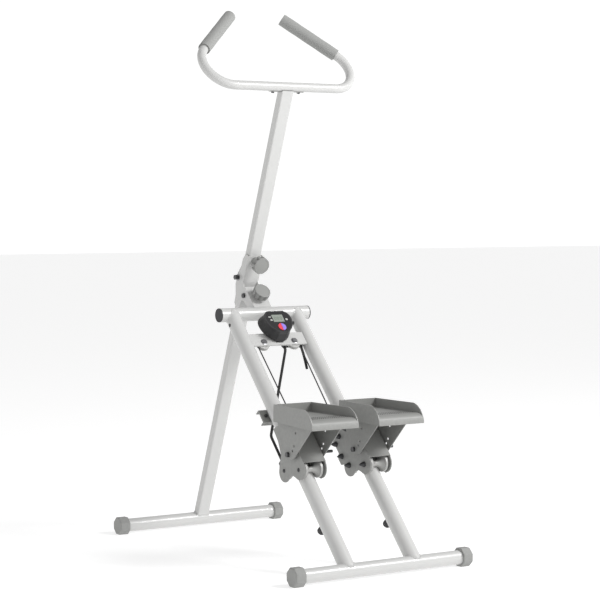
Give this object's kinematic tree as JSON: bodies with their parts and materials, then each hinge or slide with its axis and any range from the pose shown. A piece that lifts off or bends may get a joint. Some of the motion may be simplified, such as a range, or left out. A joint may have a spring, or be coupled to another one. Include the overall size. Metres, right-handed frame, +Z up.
{
  "type": "stepper",
  "caption": "Folding rail stepper: sliding pedals on inclined rails, handle post with curved handlebar and small console.",
  "frame": {"origin": "on the floor at the centre of the footprint", "axes": "+Z up, +X to the user's right, +Y forward, away from the standing user"},
  "size_m": [0.56, 0.989, 1.5017],
  "materials": {
    "white_paint": "white powder coat with a fine orange peel",
    "grey_plastic": "mid-grey moulded plastic",
    "dark_plastic": "near-black moulded plastic",
    "dark_rubber": "dark grey rubber",
    "grey_paint": "mid-grey powder coat",
    "dark_steel": "black oxide steel",
    "zinc_steel": "zinc plated steel",
    "roller_steel": "turned steel, satin",
    "pulley_plastic": "grey nylon",
    "foam": "grey closed-cell foam",
    "console_black": "black moulded plastic",
    "console_gloss": "gloss black",
    "lcd": "grey-green display",
    "red_button": "red",
    "purple_button": "violet",
    "cable_black": "black sheathed wire rope",
    "cord_black": "black elastic cord"
  },
  "bodies": {
    "rail_frame": {"rear_stabilizer": "white_paint", "rear_caps": "grey_plastic", "left_rail": "white_paint", "right_rail": "white_paint", "top_tube": "white_paint", "tube_plugs": "dark_plastic", "rail_plugs": "dark_plastic", "rail_bumpers": "dark_rubber", "saddle_bracket": "white_paint", "frame_pivot_bolt": "dark_steel", "pulley_plate": "white_paint", "pulley_bolts": "zinc_steel", "cord_anchor": "dark_steel", "console_body": "console_black", "console_face": "console_gloss", "console_lcd": "lcd", "console_tab": "dark_plastic", "stop_brackets": "grey_paint", "stop_bolts": "dark_steel", "drive_cable": "cable_black", "left_cord": "cord_black", "right_cord": "cord_black"},
    "front_leg": {"front_leg": "white_paint", "front_stabilizer": "white_paint", "front_caps": "grey_plastic", "hinge_bracket": "white_paint", "post_pivot_bolt": "dark_steel"},
    "handle_post": {"handle_post": "white_paint", "handlebar": "white_paint", "handlebar_saddle": "white_paint", "saddle_screws": "dark_steel", "left_grip": "foam", "right_grip": "foam"},
    "upper_knob": {"upper_knob": "grey_plastic", "upper_knob_screw": "zinc_steel"},
    "lower_knob": {"lower_knob": "grey_plastic", "lower_knob_screw": "zinc_steel"},
    "red_button": {"red_button": "red_button"},
    "purple_button": {"purple_button": "purple_button"},
    "left_carriage": {"left_carriage": "grey_paint", "left_carriage_bolts": "dark_steel", "left_cord_clamp": "dark_steel", "left_pedal_bolt": "dark_steel"},
    "left_pedal": {"left_pedal_tray": "grey_paint", "left_pedal_gussets": "grey_paint"},
    "left_low_front_roller": {"left_roller_low_front": "roller_steel"},
    "left_low_rear_roller": {"left_roller_low_rear": "roller_steel"},
    "left_high_front_roller": {"left_roller_high_front": "roller_steel"},
    "left_pulley": {"left_pulley": "pulley_plastic"},
    "right_carriage": {"right_carriage": "grey_paint", "right_carriage_bolts": "dark_steel", "right_cord_clamp": "dark_steel", "right_pedal_bolt": "dark_steel"},
    "right_pedal": {"right_pedal_tray": "grey_paint", "right_pedal_gussets": "grey_paint"},
    "right_low_front_roller": {"right_roller_low_front": "roller_steel"},
    "right_low_rear_roller": {"right_roller_low_rear": "roller_steel"},
    "right_high_front_roller": {"right_roller_high_front": "roller_steel"},
    "right_pulley": {"right_pulley": "pulley_plastic"}
  },
  "joints": [
    {"name": "frame_fold", "type": "hinge", "parent": "rail_frame", "child": "front_leg", "pos_m": [0, 0.16996, 0.70348], "axis": [1, 0, 0], "range_deg": [-60, 0]},
    {"name": "post_fold", "type": "hinge", "parent": "front_leg", "child": "handle_post", "pos_m": [0, 0.20702, 0.75471], "axis": [-1, 0, 0], "range_deg": [0, 180]},
    {"name": "upper_knob_spin", "type": "hinge", "parent": "front_leg", "child": "upper_knob", "pos_m": [0, 0.15318, 0.80056], "axis": [0, -0.9346, -0.3558], "continuous": true},
    {"name": "lower_knob_spin", "type": "hinge", "parent": "rail_frame", "child": "lower_knob", "pos_m": [0, 0.1317, 0.70481], "axis": [0, -0.7343, 0.6788], "continuous": true},
    {"name": "red_button_press", "type": "slide", "parent": "rail_frame", "child": "red_button", "axis": [0, 0.7343, -0.6788], "range_m": [0, 0.001], "stiffness_N_per_m": 250},
    {"name": "purple_button_press", "type": "slide", "parent": "rail_frame", "child": "purple_button", "axis": [0, 0.7343, -0.6788], "range_m": [0, 0.001], "stiffness_N_per_m": 250},
    {"name": "left_step", "type": "slide", "parent": "rail_frame", "child": "left_carriage", "axis": [0, 0.6788, 0.7343], "range_m": [-0.12, 0.12], "deforming": ["drive_cable", "left_cord"]},
    {"name": "left_pedal_tilt", "type": "hinge", "parent": "left_carriage", "child": "left_pedal", "pos_m": [-0.105, -0.25664, 0.3039], "axis": [1, 0, 0], "range_deg": [-3, 12]},
    {"name": "left_low_front_spin", "type": "hinge", "parent": "left_carriage", "child": "left_low_front_roller", "pos_m": [-0.105, -0.28726, 0.26548], "axis": [1, 0, 0], "range_deg": [-900, 900]},
    {"name": "left_low_rear_spin", "type": "hinge", "parent": "left_carriage", "child": "left_low_rear_roller", "pos_m": [-0.105, -0.21659, 0.2553], "axis": [1, 0, 0], "range_deg": [-900, 900]},
    {"name": "left_high_front_spin", "type": "hinge", "parent": "left_carriage", "child": "left_high_front_roller", "pos_m": [-0.105, -0.2058, 0.35359], "axis": [1, 0, 0], "range_deg": [-900, 900]},
    {"name": "left_pulley_spin", "type": "hinge", "parent": "rail_frame", "child": "left_pulley", "pos_m": [-0.05, 0.03494, 0.57364], "axis": [0, -0.7343, 0.6788], "range_deg": [-400, 400]},
    {"name": "right_step", "type": "slide", "parent": "rail_frame", "child": "right_carriage", "axis": [0, 0.6788, 0.7343], "range_m": [-0.12, 0.12]},
    {"name": "right_pedal_tilt", "type": "hinge", "parent": "right_carriage", "child": "right_pedal", "pos_m": [0.105, -0.25664, 0.3039], "axis": [1, 0, 0], "range_deg": [-3, 12]},
    {"name": "right_low_front_spin", "type": "hinge", "parent": "right_carriage", "child": "right_low_front_roller", "pos_m": [0.105, -0.28726, 0.26548], "axis": [1, 0, 0], "range_deg": [-900, 900]},
    {"name": "right_low_rear_spin", "type": "hinge", "parent": "right_carriage", "child": "right_low_rear_roller", "pos_m": [0.105, -0.21659, 0.2553], "axis": [1, 0, 0], "range_deg": [-900, 900]},
    {"name": "right_high_front_spin", "type": "hinge", "parent": "right_carriage", "child": "right_high_front_roller", "pos_m": [0.105, -0.2058, 0.35359], "axis": [1, 0, 0], "range_deg": [-900, 900]},
    {"name": "right_pulley_spin", "type": "hinge", "parent": "rail_frame", "child": "right_pulley", "pos_m": [0.05, 0.03494, 0.57364], "axis": [0, -0.7343, 0.6788], "range_deg": [-400, 400]}
  ],
  "couplings": [
    {"joint": "right_step", "follows": "left_step", "ratio": -1},
    {"joint": "left_low_front_spin", "follows": "left_step", "rad_per_m": -125},
    {"joint": "left_high_front_spin", "follows": "left_step", "rad_per_m": -125},
    {"joint": "left_low_rear_spin", "follows": "left_step", "rad_per_m": 125},
    {"joint": "left_pulley_spin", "follows": "left_step", "rad_per_m": -54.945},
    {"joint": "right_low_front_spin", "follows": "left_step", "rad_per_m": 125},
    {"joint": "right_high_front_spin", "follows": "left_step", "rad_per_m": 125},
    {"joint": "right_low_rear_spin", "follows": "left_step", "rad_per_m": -125},
    {"joint": "right_pulley_spin", "follows": "left_step", "rad_per_m": -54.945}
  ]
}
